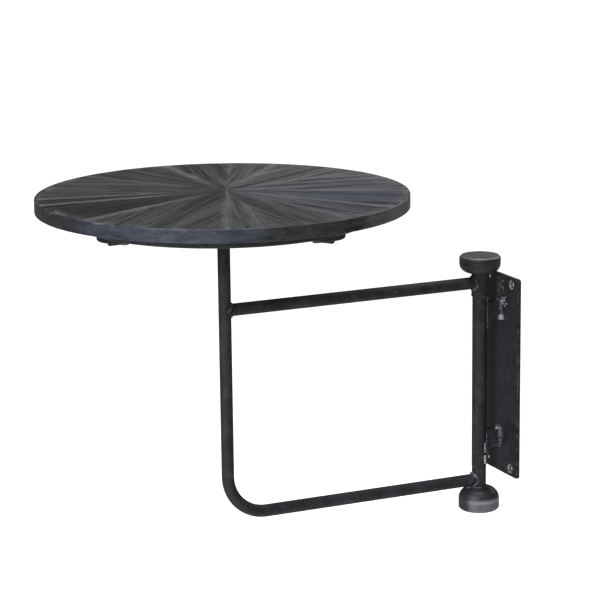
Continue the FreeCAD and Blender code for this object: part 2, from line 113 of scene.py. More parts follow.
class Surface:
    """A material whose colour, roughness and relief come from nodes."""

    def __init__(self, name, metallic=0.0, specular=0.5):
        self.material = bpy.data.materials.new(name)
        self.material.use_nodes = True
        self.tree = self.material.node_tree
        self.shader = self.tree.nodes["Principled BSDF"]
        self.shader.inputs["Metallic"].default_value = metallic
        self.shader.inputs["Specular IOR Level"].default_value = specular
        self.position = self.node("ShaderNodeTexCoord").outputs["Object"]

    def feed(self, socket, value):
        """Links a socket to another, or sets it to a plain value."""
        if isinstance(value, bpy.types.NodeSocket):
            self.tree.links.new(value, socket)
        else:
            socket.default_value = value

    def node(self, kind, inputs=None, **settings):
        """A new node with its settings and inputs."""
        made = self.tree.nodes.new(kind)
        for key, value in settings.items():
            setattr(made, key, value)
        for key, value in (inputs or {}).items():
            self.feed(made.inputs[key], value)
        return made

    def maths(self, operation, first, second=0.0):
        """One arithmetic step."""
        made = self.node("ShaderNodeMath", operation=operation)
        self.feed(made.inputs[0], first)
        self.feed(made.inputs[1], second)
        return made.outputs[0]

    def product(self, first, second):
        """First times second."""
        return self.maths("MULTIPLY", first, second)

    def total(self, first, second):
        """First plus second."""
        return self.maths("ADD", first, second)

    def between(self, value, low, high, low_result=0.0, high_result=1.0):
        """Carries a value from one range to another and holds it at the ends."""
        made = self.node("ShaderNodeMapRange", {
            "Value": value, "From Min": low, "From Max": high,
            "To Min": low_result, "To Max": high_result})
        return made.outputs["Result"]

    def mix(self, share, first, second):
        """Colour between two others."""
        made = self.node("ShaderNodeMix", data_type="RGBA")
        self.feed(made.inputs[0], share)
        self.feed(made.inputs[6], first)
        self.feed(made.inputs[7], second)
        return made.outputs[2]

    def axes(self, size=(1, 1, 1), centre=(0, 0, 0), turn=0.0):
        """Position about a centre, turned about Z and measured in units of a size."""
        made = self.node("ShaderNodeMapping", {
            "Vector": self.position, "Location": centre,
            "Rotation": (0, 0, turn), "Scale": size}, vector_type="TEXTURE")
        return made.outputs["Vector"]

    def along(self, axis, centre=(0, 0, 0), turn=0.0):
        """One coordinate of the position about a centre."""
        made = self.node("ShaderNodeSeparateXYZ", {"Vector": self.axes((1, 1, 1), centre, turn)})
        return made.outputs[axis]

    def noise(self, size, detail=4.0, centre=(0, 0, 0), turn=0.0, bend=0.0):
        """Cloudy pattern whose patches have a size, or a size along each axis."""
        sizes = size if isinstance(size, tuple) else (size, size, size)
        made = self.node("ShaderNodeTexNoise", {
            "Vector": self.axes(sizes, centre, turn), "Scale": 1.0, "Detail": detail,
            "Roughness": 0.6, "Distortion": bend})
        return made.outputs["Fac"]

    def patches(self, size, detail, start, full, least=0.0, most=1.0, centre=(0, 0, 0)):
        """Patches of a size: least where their pattern is below a start, most where it is full."""
        return self.between(self.noise(size, detail, centre), start, full, least, most)

    def reach(self, first, second):
        """Length across two sides at right angles."""
        squares = self.total(self.product(first, first), self.product(second, second))
        return self.maths("SQRT", squares)

    def edges(self, width):
        """One on sharp edges, falling to nothing within a width of them."""
        rounded = self.node("ShaderNodeBevel", {"Radius": width}, samples=6)
        flat = self.node("ShaderNodeNewGeometry")
        turned = self.node("ShaderNodeVectorMath", operation="DOT_PRODUCT")
        self.feed(turned.inputs[0], rounded.outputs["Normal"])
        self.feed(turned.inputs[1], flat.outputs["Normal"])
        return self.between(turned.outputs["Value"], 0.99, 0.86)

    def finish(self, colour, roughness, height, relief):
        """Sets the shader's colour, roughness and relief."""
        bump = self.node("ShaderNodeBump", {"Height": height, "Distance": relief})
        self.feed(self.shader.inputs["Base Color"], colour)
        self.feed(self.shader.inputs["Roughness"], roughness)
        self.feed(self.shader.inputs["Normal"], bump.outputs["Normal"])
        return self.material


def dress(material, *names):
    """Gives solids a material."""
    for name in names:
        mesh = nodes[name].data
        mesh.materials.clear()
        mesh.materials.append(material)


# Iron

IRON_DARK = grey(0.017, 0.10)
IRON_LIGHT = grey(0.036, 0.12)
IRON_BARE = grey(0.17, 0.03)
IRON_STAIN = grey(0.008, 0.10)
IRON_SCUFF = grey(0.11, 0.04)
CLOUD_SIZE = 0.014
PATCH_SIZE = 0.007
SPECK_SIZE = 0.0016
PEEL_SIZE = 0.0018
STAIN_SIZE = (0.01, 0.024, 0.024)
SCUFF_SIZE = (0.004, 0.012, 0.012)
RUBBED_EDGE = 0.0012
BAR_ROUGHNESS = (0.50, 0.66)
BAR_RELIEF = 0.00008
HAND_RELIEF = 0.0004


def painted_iron(surface):
    """Colour of black iron: cloudy finish, rubbed edges and small bare specks."""
    clouds = surface.noise(CLOUD_SIZE, 5)
    colour = surface.mix(surface.between(clouds, low=0.35, high=0.7), IRON_DARK, IRON_LIGHT)
    patches = surface.patches(PATCH_SIZE, 3, start=0.48, full=0.62)
    lightened = surface.product(surface.edges(RUBBED_EDGE), patches)
    specks = surface.patches(SPECK_SIZE, 2, start=0.72, full=0.78, most=0.5)
    bare = surface.maths("MAXIMUM", lightened, specks)
    return surface.mix(bare, colour, IRON_BARE), clouds


def iron_relief(surface, clouds):
    """Height of a hand-finished iron surface."""
    peel = surface.noise(PEEL_SIZE, 3)
    return surface.total(surface.product(clouds, 0.7), surface.product(peel, 0.3))


def black_iron():
    """Iron of the bars and the hinge, with soft dark stains and faint scuffs."""
    surface = Surface("black_iron", specular=0.25)
    colour, clouds = painted_iron(surface)
    stains = surface.patches(STAIN_SIZE, 3, start=0.46, full=0.66, most=0.6)
    colour = surface.mix(stains, colour, IRON_STAIN)
    scuffs = surface.patches(SCUFF_SIZE, 4, start=0.58, full=0.72, most=0.25)
    colour = surface.mix(scuffs, colour, IRON_SCUFF)
    roughness = surface.between(clouds, *PATTERN_SPAN, *BAR_ROUGHNESS)
    return surface.finish(colour, roughness, iron_relief(surface, clouds), BAR_RELIEF)


# Scorched strip of the plate: its middle, measured from the upper stand-off's, and where it fades out
STRIP_ASIDE = 0.002
STRIP_ABOVE = 0.016
STRIP_SIDES = (0.010, 0.006)
STRIP_ENDS = (0.026, 0.018)
SCORCH_SIZE = 0.0032
SCORCH_SHIFT = (0.013, 0, 0.007)

# Rubbed ring round a screw hole: where it fades out, outwards and inwards
RING_OUTSIDE = (0.0056, 0.0050)
RING_INSIDE = (0.0030, 0.0038)
RING_WEAR = 0.004
RIGHT_FADE = 0.004
PLATE_BARE = grey(0.30, 0.03)
PLATE_ROUGHNESS = (0.40, 0.58)


def above_stand_off(surface):
    """One on the plate's front in a narrow strip from the upper stand-off to the top edge."""
    centre = (STRIP_ASIDE, 0, middle("upper_standoff").z + STRIP_ABOVE)
    beside = surface.maths("ABSOLUTE", surface.along("X", centre))
    height = surface.maths("ABSOLUTE", surface.along("Z", centre))
    strip = surface.product(surface.between(beside, *STRIP_SIDES), surface.between(height, *STRIP_ENDS))
    front = surface.between(surface.along("Y"), plate_front * 0.6, plate_front * 0.8)
    return surface.product(strip, front)


def plate_iron():
    """The plate's iron, rubbed bare in its countersinks and scorched above the upper stand-off."""
    surface = Surface("plate_iron", specular=0.12)
    colour, clouds = painted_iron(surface)
    aside = surface.maths("SUBTRACT", surface.maths("ABSOLUTE", surface.along("X")), HOLE_X)
    above = surface.maths("SUBTRACT", surface.maths("ABSOLUTE", surface.along("Z")), HOLE_Z)
    from_hole = surface.reach(aside, above)
    ring_outside = surface.between(from_hole, *RING_OUTSIDE)
    ring = surface.product(ring_outside, surface.between(from_hole, *RING_INSIDE))
    on_right = surface.between(surface.along("X"), -RIGHT_FADE, RIGHT_FADE, low_result=0.1)
    ring_wear = surface.product(on_right, surface.patches(RING_WEAR, 3, start=0.3, full=0.6, least=0.3))
    scorch = surface.patches(SCORCH_SIZE, 4, start=0.53, full=0.62, most=0.85, centre=SCORCH_SHIFT)
    lightened = surface.product(ring, ring_wear)
    bare = surface.maths("MAXIMUM", lightened, surface.product(above_stand_off(surface), scorch))
    colour = surface.mix(bare, colour, PLATE_BARE)
    roughness = surface.between(clouds, *PATTERN_SPAN, *PLATE_ROUGHNESS)
    return surface.finish(colour, roughness, iron_relief(surface, clouds), HAND_RELIEF)


WELD_PAINT = grey(0.024, 0.10)
WELD_PATCH = 0.008
WELD_GRAIN = 0.0026
WELD_RIPPLE = 0.0012
WELD_BARE_SPAN = 0.08
WELD_ROUGHNESS = (0.5, 0.32)
WELD_RELIEF = 0.0003


def weld_iron(name, bare_from, level):
    """Welds: painted, with patches of bare metal where a slow pattern rises past a value."""
    surface = Surface(name, metallic=0.3, specular=0.5)
    patches = surface.noise(WELD_PATCH, 3)
    grains = surface.patches(WELD_GRAIN, 3, start=0.36, full=0.56, least=0.35)
    bare = surface.product(surface.between(patches, bare_from, bare_from + WELD_BARE_SPAN), grains)
    colour = surface.mix(bare, WELD_PAINT, grey(level, 0.04))
    roughness = surface.between(patches, 0.4, 0.7, *WELD_ROUGHNESS)
    return surface.finish(colour, roughness, surface.noise(WELD_RIPPLE, 3), WELD_RELIEF)


# Directions of the hoop's two stretches of painted light, a bluish painted highlight and a lighter
# painted sheen, and where they end, as shares of its radius
PAINTED_HIGHLIGHT_HEADING = math.radians(-42)
PAINTED_SHEEN_HEADING = math.radians(54)
STRETCH_FROM = 0.82
STRETCH_FULL = 0.94
STRETCH_WAVER = 0.006
HOOP_TINT = (0.86, 0.93, 1.0, 1.0)
HOOP_DARK = grey(0.009)
HOOP_LIGHT = grey(0.027)
PAINTED_HIGHLIGHT_DARK = grey(0.027, 0.25)
PAINTED_HIGHLIGHT_LIGHT = grey(0.062, 0.25)
PAINTED_SHEEN_DARK = grey(0.055)
PAINTED_SHEEN_LIGHT = grey(0.12)
HOOP_BARE = grey(0.15, 0.05)
HOOP_CLOUD = (0.02, 0.02, 0.006)
HOOP_SCRATCH = (0.016, 0.016, 0.0007)
HOOP_DENT = 0.0022
HOOP_GRAIN = 0.003
HOOP_ROUGHNESS = (0.30, 0.44)
HOOP_RELIEF = 0.0003

# Rubbed upper edge of the hoop: depths where it starts and is full, and the sizes of its breaks
HOOP_RUB_START = 0.0016
HOOP_RUB_FULL = 0.0004
HOOP_RUB_STRETCH = 0.05
HOOP_RUB_BREAK = 0.006


def hoop_stretch(surface, heading, waver):
    """One on the stretch of the hoop that lies in a direction from its middle, with a wavering end."""
    towards = surface.total(surface.along("X", tuple(top_centre), heading), waver)
    return surface.between(towards, STRETCH_FROM * top_radius, STRETCH_FULL * top_radius)


def band_iron():
    """The hoop: dark satin with a bluish painted highlight on one stretch and a painted sheen on another,
    scratches, and a partly rubbed upper edge.
    """
    surface = Surface("band_iron", specular=0.48)
    surface.shader.inputs["Specular Tint"].default_value = HOOP_TINT
    clouds = surface.noise(HOOP_CLOUD, 5)
    cloudy = surface.between(clouds, low=0.32, high=0.7)
    waver = surface.between(clouds, 0.2, 0.8, -STRETCH_WAVER, STRETCH_WAVER)
    painted_highlight = surface.mix(cloudy, PAINTED_HIGHLIGHT_DARK, PAINTED_HIGHLIGHT_LIGHT)
    painted_sheen = surface.mix(cloudy, PAINTED_SHEEN_DARK, PAINTED_SHEEN_LIGHT)
    colour = surface.mix(cloudy, HOOP_DARK, HOOP_LIGHT)
    # Painted light on the hoop: a bluish highlight on one stretch and a lighter sheen on another.
    colour = surface.mix(hoop_stretch(surface, PAINTED_HIGHLIGHT_HEADING, waver), colour, painted_highlight)
    colour = surface.mix(hoop_stretch(surface, PAINTED_SHEEN_HEADING, waver), colour, painted_sheen)
    scratches = surface.patches(HOOP_SCRATCH, 3, start=0.64, full=0.72, most=0.6)
    dents = surface.patches(HOOP_DENT, 2, start=0.70, full=0.76, most=0.6)
    near_top = surface.between(surface.along("Z"), top_z - HOOP_RUB_START, top_z - HOOP_RUB_FULL)
    stretches = surface.patches(HOOP_RUB_STRETCH, 3, start=0.50, full=0.60)
    broken = surface.patches(HOOP_RUB_BREAK, 3, start=0.40, full=0.60, least=0.1, most=0.7)
    lightened = surface.product(near_top, surface.product(stretches, broken))
    bare = surface.maths("MAXIMUM", surface.maths("MAXIMUM", scratches, dents), lightened)
    colour = surface.mix(bare, colour, HOOP_BARE)
    roughness = surface.between(clouds, *PATTERN_SPAN, *HOOP_ROUGHNESS)
    return surface.finish(colour, roughness, surface.noise(HOOP_GRAIN, 4), HOOP_RELIEF)


# Lighter side of the knobs: its direction, and how far from the pin it starts and is full
LIGHTER_SIDE_HEADING = math.radians(10)
LIGHTER_SIDE_EDGE = (0.0055, 0.0125)
KNOB_RAGGED = 0.009
RAGGED_SHARE = 0.25
KNOB_PATCH = (0.012, 0.012, 0.004)
SPUN_RINGS = (0.03, 0.03, 0.0011)
SPUN_GREY = grey(0.07)
RIM_BREAK = 0.02
RIM_HIGHLIGHT_AND_WEAR = grey(0.30, 0.06)
KNOB_ROUGHNESS = (0.36, 0.52)


def knob_iron(name, lighter_from, lighter_to, level, far_side, rim_z, rim_width):
    """A knob's iron: spun rings, lighter grey past a height, less so on its far side, and a bright rim
    that is a painted highlight with edge wear.
    """
    surface = Surface(name, metallic=0.15, specular=0.35)
    colour, clouds = painted_iron(surface)
    ragged = surface.product(surface.noise(KNOB_RAGGED, 4), RAGGED_SHARE * abs(lighter_to - lighter_from))
    height = surface.between(surface.total(surface.along("Z"), ragged), lighter_from, lighter_to)
    patches = surface.patches(KNOB_PATCH, 5, start=0.25, full=0.6, least=0.6)
    towards_right = surface.along("X", tuple(hinge), LIGHTER_SIDE_HEADING)
    lighter_side = surface.between(towards_right, *LIGHTER_SIDE_EDGE, far_side)
    spun = surface.patches(SPUN_RINGS, 3, start=0.50, full=0.66, most=0.55)
    colour = surface.mix(surface.product(spun, lighter_side), colour, SPUN_GREY)
    lightened = surface.product(surface.product(height, lighter_side), patches)
    colour = surface.mix(lightened, colour, grey(level, 0.04))
    # Bright rim: a painted highlight along the rim, broken up like edge wear.
    off_rim = surface.maths("ABSOLUTE", surface.along("Z", (0, 0, rim_z)))
    rim = surface.product(surface.between(off_rim, rim_width, 0.0), lighter_side)
    broken = surface.patches(RIM_BREAK, 3, start=0.30, full=0.48, least=0.2, most=0.8)
    colour = surface.mix(surface.product(rim, broken), colour, RIM_HIGHLIGHT_AND_WEAR)
    roughness = surface.between(clouds, *PATTERN_SPAN, *KNOB_ROUGHNESS)
    return surface.finish(colour, roughness, iron_relief(surface, clouds), HAND_RELIEF)


STEEL_DARK = grey(0.10, 0.02)
STEEL_LIGHT = grey(0.38, 0.02)
STEEL_ROUGHNESS = (0.3, 0.5)
SCREW_CLOUD = 0.003
SCREW_GRAIN = 0.001
SCREW_RELIEF = 0.0002


def screw_steel():
    """Plain steel of the pin and the screws, cloudy and dull in places."""
    surface = Surface("screw_steel", metallic=0.9, specular=0.5)
    clouds = surface.noise(SCREW_CLOUD, 4)
    colour = surface.mix(clouds, STEEL_DARK, STEEL_LIGHT)
    roughness = surface.between(clouds, *PATTERN_SPAN, *STEEL_ROUGHNESS)
    return surface.finish(colour, roughness, surface.noise(SCREW_GRAIN, 3), SCREW_RELIEF)


# Wood

# Brightness of each stave, in order from the first, and how far its first seam is lighter, from rubbing
# and a painted highlight of its eased edge
STAVE_TONES = [1.37, 1.46, 1.17, 0.74, 0.75, 0.81, 0.35, 0.39, 0.70, 1.0, 0.79, 1.02, 0.90]
SEAM_WEAR_AND_GLINT = [0.7, 0.8, 0.9, 0.2, 0.8, 0.4, 0.7, 0.9, 0.8, 0.4, 0.2, 0.4, 0.7]
WOOD_DARK = 0.0118
WOOD_LIGHT = 0.103
WOOD_PORE = grey(0.008)
WOOD_RUB_AND_GLINT = grey(0.17, 0.01)
WOOD_SCUFFED = grey(0.13, 0.01)
WOOD_ROUGHNESS = (0.78, 0.60)
WOOD_RELIEF = 0.0004

# Painted blue sheen of the staves: the direction in which it is strongest, and its share of blue there
BLUE_SHEEN_HEADING = math.radians(50)
BLUE_SHEEN_SHARE = 0.12

# Patterns of a board: sizes along, across and through it, and the shift from board to board
BROAD_GRAIN = (0.35, 0.015, 0.05)
BAND_GRAIN = (0.22, 0.0055, 0.05)
FIBRE_GRAIN = (0.07, 0.0016, 0.01)
PORE_GRAIN = (0.016, 0.0005, 0.004)
BLOTCH_SIZE = 0.05
SHIFT_ALONG = 0.37
SHIFT_ACROSS = 0.11

# Lighter seams, from rubbing and a painted highlight of their eased edges: widths at a board's two seams,
# and distances from the burst between which it grows
FIRST_SEAM_RUB_AND_GLINT = 0.0075
LAST_SEAM_RUB_AND_GLINT = 0.0060
SEAM_RUB_AND_GLINT_FULL = 0.0005
SEAM_RUB_AND_GLINT_RAGGED = 0.003
SEAM_RUB_AND_GLINT_GROWTH = (0.015, 0.095)

# Scuffed outer end of a board, measured in from the outside of the hoop
END_SCUFF_START = 0.016
END_SCUFF_FULL = 0.003
END_SCUFF_SIZE = 0.018


def stave_angles(name):
    """Middle direction of a stave from the burst and half the angle that it spans."""
    across = [vertex.co - burst for vertex in nodes[name].data.vertices]
    outer = [spot for spot in across if spot.to_2d().length > top_radius / 2]
    heading = sum((spot.to_2d().normalized().to_3d() for spot in outer), Vector())
    middle_angle = math.atan2(heading.y, heading.x)
    turned = [math.atan2(spot.y, spot.x) - middle_angle for spot in outer]
    wrapped = [math.atan2(math.sin(angle), math.cos(angle)) for angle in turned]
    least, most = min(wrapped), max(wrapped)
    return middle_angle + (least + most) / 2, (most - least) / 2


def stave_grain(surface, start, heading):
    """Broad, middling and fine streaks along a board."""
    broad = surface.noise(BROAD_GRAIN, 3, start, heading, 0.4)
    bands = surface.noise(BAND_GRAIN, 4, start, heading, 0.5)
    fibres = surface.noise(FIBRE_GRAIN, 5, start, heading)
    streaks = surface.total(surface.product(broad, 0.45), surface.product(bands, 0.35))
    return surface.total(streaks, surface.product(fibres, 0.2)), bands, fibres


def seam_rub_and_glint(surface, heading, half, first_wear_and_glint, last_wear_and_glint, bands):
    """How far a board is lighter along its two seams, from rubbing and a painted highlight of their eased
    edges.
    """
    ragged = surface.between(bands, *PATTERN_SPAN, -SEAM_RUB_AND_GLINT_RAGGED, SEAM_RUB_AND_GLINT_RAGGED)
    from_first = surface.along("Y", tuple(burst), heading - half)
    from_last = surface.product(surface.along("Y", tuple(burst), heading + half), -1)
    near_first = surface.total(from_first, ragged)
    first = surface.between(near_first, FIRST_SEAM_RUB_AND_GLINT, SEAM_RUB_AND_GLINT_FULL, high_result=first_wear_and_glint)
    near_last = surface.total(from_last, ragged)
    last = surface.between(near_last, LAST_SEAM_RUB_AND_GLINT, SEAM_RUB_AND_GLINT_FULL, high_result=last_wear_and_glint)
    from_burst = surface.reach(surface.along("X", tuple(burst)), surface.along("Y", tuple(burst)))
    fading = surface.between(from_burst, *SEAM_RUB_AND_GLINT_GROWTH, low_result=0.1)
    return surface.product(surface.maths("MAXIMUM", first, last), fading)


def end_scuffs(surface):
    """How far a board is scuffed at its outer end."""
    centre = tuple(top_centre)
    from_middle = surface.reach(surface.along("X", centre), surface.along("Y", centre))
    outer_end = surface.between(
        from_middle, top_radius - END_SCUFF_START, top_radius - END_SCUFF_FULL, high_result=0.7)
    return surface.product(outer_end, surface.patches(END_SCUFF_SIZE, 4, start=0.46, full=0.62))


def stave_wood(number, tone, first_wear_and_glint, last_wear_and_glint):
    """Charcoal-stained board with grain along its middle and a painted blue sheen, lighter along its
    seams from rubbing and a painted highlight, and scuffed at its outer end.
    """
    name = f"stave_{number:02d}"
    heading, half = stave_angles(name)
    surface = Surface(f"{name}_wood", specular=0.1)
    start = tuple(burst + Vector((SHIFT_ALONG * number, SHIFT_ACROSS * number, 0)))
    grain, bands, fibres = stave_grain(surface, start, heading)
    pores = surface.between(surface.noise(PORE_GRAIN, 2, start, heading), low=0.60, high=0.70)
    light = surface.between(grain, low=0.40, high=0.62)
    # Painted blue sheen, strongest on the staves that point one way.
    blue = BLUE_SHEEN_SHARE * max(0.0, math.cos(heading - BLUE_SHEEN_HEADING)) ** 3
    lightest = grey(WOOD_LIGHT * tone, blue)
    colour = surface.mix(light, grey(WOOD_DARK * tone, blue), lightest)
    blotches = surface.patches(BLOTCH_SIZE, 3, start=0.40, full=0.7, most=0.25, centre=start)
    colour = surface.mix(blotches, colour, lightest)
    colour = surface.mix(surface.product(pores, 0.5), colour, WOOD_PORE)
    # Lighter along the seams: rubbing and a painted highlight of the eased seam edges.
    lightened = seam_rub_and_glint(surface, heading, half, first_wear_and_glint, last_wear_and_glint, bands)
    streaky = surface.between(fibres, 0.35, 0.60, low_result=0.35, high_result=0.9)
    colour = surface.mix(surface.product(lightened, streaky), colour, WOOD_RUB_AND_GLINT)
    colour = surface.mix(end_scuffs(surface), colour, WOOD_SCUFFED)
    roughness = surface.between(fibres, *PATTERN_SPAN, *WOOD_ROUGHNESS)
    height = surface.maths("SUBTRACT", surface.total(fibres, surface.product(bands, 0.5)), pores)
    return surface.finish(colour, roughness, height, WOOD_RELIEF)


BASE_FIBRE = (0.09, 0.0016, 0.0012)
BASE_BAND = (0.3, 0.012, 0.004)
BASE_DARK = grey(0.024, 0.10)
BASE_LIGHT = grey(0.062, 0.10)
BASE_ROUGHNESS = (0.75, 0.6)


def base_wood():
    """Dark board with straight grain, under the staves."""
    surface = Surface("base_wood", specular=0.3)
    fibres = surface.noise(BASE_FIBRE, 5)
    bands = surface.noise(BASE_BAND, 3, bend=0.5)
    light = surface.between(surface.total(fibres, bands), low=0.75, high=1.25)
    colour = surface.mix(light, BASE_DARK, BASE_LIGHT)
    roughness = surface.between(fibres, *PATTERN_SPAN, *BASE_ROUGHNESS)
    return surface.finish(colour, roughness, fibres, WOOD_RELIEF)


# Surfaces on the solids

SHOULDER_HEIGHT = 0.0122

iron = black_iron()
painted_welds = weld_iron("painted_weld", bare_from=0.46, level=0.12)
streaked_welds = weld_iron("streaked_weld", bare_from=0.38, level=0.10)
bare_welds = weld_iron("bare_weld", bare_from=0.30, level=0.45)
knob_top_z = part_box("top_knob")[1].z
shoulder_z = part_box("bottom_knob")[0].z + SHOULDER_HEIGHT
top_knob_iron = knob_iron(
    "top_knob_iron", lighter_from=knob_top_z - 0.0012, lighter_to=knob_top_z - 0.0004, level=0.088,
    far_side=1.0, rim_z=knob_top_z - 0.0009, rim_width=0.0005)
bottom_knob_iron = knob_iron(
    "bottom_knob_iron", lighter_from=shoulder_z + 0.0050, lighter_to=shoulder_z + 0.0010, level=0.150,
    far_side=0.05, rim_z=shoulder_z + 0.0002, rim_width=0.0030)
dress(iron, "upper_standoff", "lower_standoff", "hinge_sleeve", "upper_collar", "lower_collar",
      "post_bar", "upper_bar", "spider_hub", "spider_arm_01", "spider_arm_02", "spider_arm_03")
dress(plate_iron(), "wall_plate")
dress(band_iron(), "rim_band")
dress(top_knob_iron, "top_knob")
dress(bottom_knob_iron, "bottom_knob")
dress(screw_steel(), "hinge_pin", "spider_screws")
dress(base_wood(), "base_board")
for index, stave_tone in enumerate(STAVE_TONES):
    seam_wear_and_glint_pair = SEAM_WEAR_AND_GLINT[index], SEAM_WEAR_AND_GLINT[(index + 1) % len(SEAM_WEAR_AND_GLINT)]
    dress(stave_wood(index + 1, stave_tone, *seam_wear_and_glint_pair), staves[index])


# Filler in the seams

FILLER_DROP = 0.00005
FILLER_DEPTH = 0.0020
FILLER_STREAK = 0.012
FILLER_GRAIN = 0.001
FILLER_DARK = grey(0.045)
FILLER_LIGHT = grey(0.11)
FILLER_ROUGHNESS = (0.7, 0.9)
FILLER_RELIEF = 0.0002


def filler_wood():
    """Wax and dust that fills the seams."""
    surface = Surface("filler_wood", specular=0.1)
    streaks = surface.noise(FILLER_STREAK, 4)
    colour = surface.mix(surface.between(streaks, low=0.35, high=0.65), FILLER_DARK, FILLER_LIGHT)
    roughness = surface.between(streaks, *PATTERN_SPAN, *FILLER_ROUGHNESS)
    return surface.finish(colour, roughness, surface.noise(FILLER_GRAIN, 3), FILLER_RELIEF)


def seam_length(angle):
    """Distance from the burst to the inside of the hoop in a direction."""
    offset = (burst - top_centre).to_2d()
    along = offset.x * math.cos(angle) + offset.y * math.sin(angle)
    inside = top_radius - HOOP_WALL
    return math.sqrt(along ** 2 - offset.length_squared + inside ** 2) - along


def seam_filler():
    """Thin strips between the staves, from the burst to the hoop, a little below the top."""
    shape = bmesh.new()
    start = Matrix.Translation((burst.x, burst.y, top_z - FILLER_DROP - FILLER_DEPTH / 2))
    before, half_before = stave_angles(staves[-1])
    for name in staves:
        heading, half = stave_angles(name)
        gap = (heading - half - before - half_before) % math.tau
        seam = heading - half - gap / 2
        length = seam_length(seam)
        size = Matrix.Diagonal((length, gap * length, FILLER_DEPTH, 1))
        strip = Matrix.Translation((length / 2, 0, 0)) @ size
        bmesh.ops.create_cube(shape, size=1, matrix=start @ Matrix.Rotation(seam, 4, "Z") @ strip)
        before, half_before = heading, half
    piece_of("seam_filler", shape, filler_wood(), "swing_arm")


# Welds

BEAD_SIDES = 10
BEAD_STEP = 0.0004
SUNK_SHARE = 0.3
SHARP_ANGLE = math.radians(50)

# Unevenness of a bead in shares of its thickness: short ripples, long lumps, chance, and its blunt ends
RIPPLE_PITCH = 1.4
RIPPLE = 0.09
LUMP_PITCH = 9
LUMP = 0.22
CHANCE_ALONG = 0.05
CHANCE_AROUND = 0.07
BLUNT_END = 0.05

# Thickness of the beads
UPPER_BAR_BEAD = 0.0021
LOWER_BAR_BEAD = 0.0024
POST_BEAD = 0.0021
ARM_BEAD = 0.0011
HUB_BEAD = 0.0013
NECK_BEAD = 0.0013
NECK_RUN = 0.0026
STANDOFF_BEAD = 0.0036
SLEEVE_BEAD = 0.0017
LEDGE_BEAD = 0.0016
STROKE_BEAD = 0.0006

# How far the beads at the hub's foot and the neck stand off the iron, and the run beyond the neck
HUB_BEAD_LIFT = 0.0006
NECK_BEAD_LIFT = 0.0004
NECK_RUN_NEAR = 0.001
NECK_RUN_FAR = 0.009
NECK_RUN_TILT = 0.0004


def straight(start, end):
    """Points from one place to another, without the last."""
    count = max(2, round((end - start).length / BEAD_STEP))
    return [start.lerp(end, step / count) for step in range(count)]


def loop_through(corners):
    """Closed path through corners."""
    points = []
    for index, corner in enumerate(corners):
        points += straight(corner, corners[(index + 1) % len(corners)])
    return points


def ring_path(centre, radius):
    """Level closed circle."""
    count = round(math.tau * radius / BEAD_STEP)
    angles = [math.tau * step / count for step in range(count)]
    return [centre + Vector((radius * math.cos(a), radius * math.sin(a), 0)) for a in angles]


def saddle_path(drum_centre, drum_radius, outward, height):
    """Closed line where a level bar meets an upright drum."""
    count = round(math.tau * bar_radius / BEAD_STEP)
    aside = Vector((-outward.y, outward.x, 0))
    points = []
    for step in range(count):
        angle = math.tau * step / count
        across = bar_radius * math.cos(angle)
        reach = math.sqrt(max(0.0, drum_radius ** 2 - across ** 2))
        spot = drum_centre + outward * reach + aside * across
        points.append(Vector((spot.x, spot.y, height + bar_radius * math.sin(angle))))
    return points


def bead_size(thickness, index, count, closed, phase, chance):
    """Reach of a bead at one of its points: rippled, lumpy and rounded off at open ends."""
    run = index * BEAD_STEP
    ripple = 1 + RIPPLE * math.sin(math.tau * run / (thickness * RIPPLE_PITCH))
    ripple += chance.uniform(-CHANCE_ALONG, CHANCE_ALONG)
    ripple += LUMP * math.sin(math.tau * run / (thickness * LUMP_PITCH) + phase)
    end_share = min(1.0, min(index, count - 1 - index) * BEAD_STEP / thickness)
    taper = 1.0 if closed else math.sqrt(max(BLUNT_END, 1 - (1 - end_share) ** 2))
    return thickness * ripple * taper


def bead_ring(shape, point, forward, facing, size, chance):
    """Corners of a bead round one point of its path, shallow on the side sunk in the iron."""
    across = (facing - forward * facing.dot(forward)).normalized()
    other = forward.cross(across)
    ring = []
    for side in range(BEAD_SIDES):
        angle = math.tau * side / BEAD_SIDES
        reach = size * (1 + chance.uniform(-CHANCE_AROUND, CHANCE_AROUND))
        rise = math.cos(angle) if math.cos(angle) > 0 else SUNK_SHARE * math.cos(angle)
        ring.append(shape.verts.new(point + (across * rise + other * math.sin(angle)) * reach))
    return ring


def add_bead(shape, path, thickness, facing, closed, seed):
    """Adds a bead along a path to a shape, closed in a loop or capped at both ends."""
    chance = random.Random(seed)
    count = len(path)
    phase = chance.uniform(0, math.tau)
    rings = []
    for index, point in enumerate(path):
        before = path[index - 1] if closed or index else point
        after = path[(index + 1) % count] if closed or index < count - 1 else point
        forward = (after - before).normalized()
        size = bead_size(thickness, index, count, closed, phase, chance)
        rings.append(bead_ring(shape, point, forward, facing, size, chance))
    for index in range(count if closed else count - 1):
        near, far = rings[index], rings[(index + 1) % count]
        for side in range(BEAD_SIDES):
            following = (side + 1) % BEAD_SIDES
            shape.faces.new((near[side], near[following], far[following], far[side]))
    if not closed:
        shape.faces.new(reversed(rings[0]))
        shape.faces.new(rings[-1])


def piece_of(name, shape, material, body):
    """Turns a shape into a smooth piece with a finish, which rides on a body."""
    bmesh.ops.recalc_face_normals(shape, faces=shape.faces)
    mesh = bpy.data.meshes.new(name)
    shape.to_mesh(mesh)
    shape.free()
    mesh.materials.append(material)
    mesh.shade_smooth()
    mesh.set_sharp_from_angle(angle=SHARP_ANGLE)
    piece = bpy.data.objects.new(name, mesh)
    bpy.context.scene.collection.objects.link(piece)
    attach(piece, body)


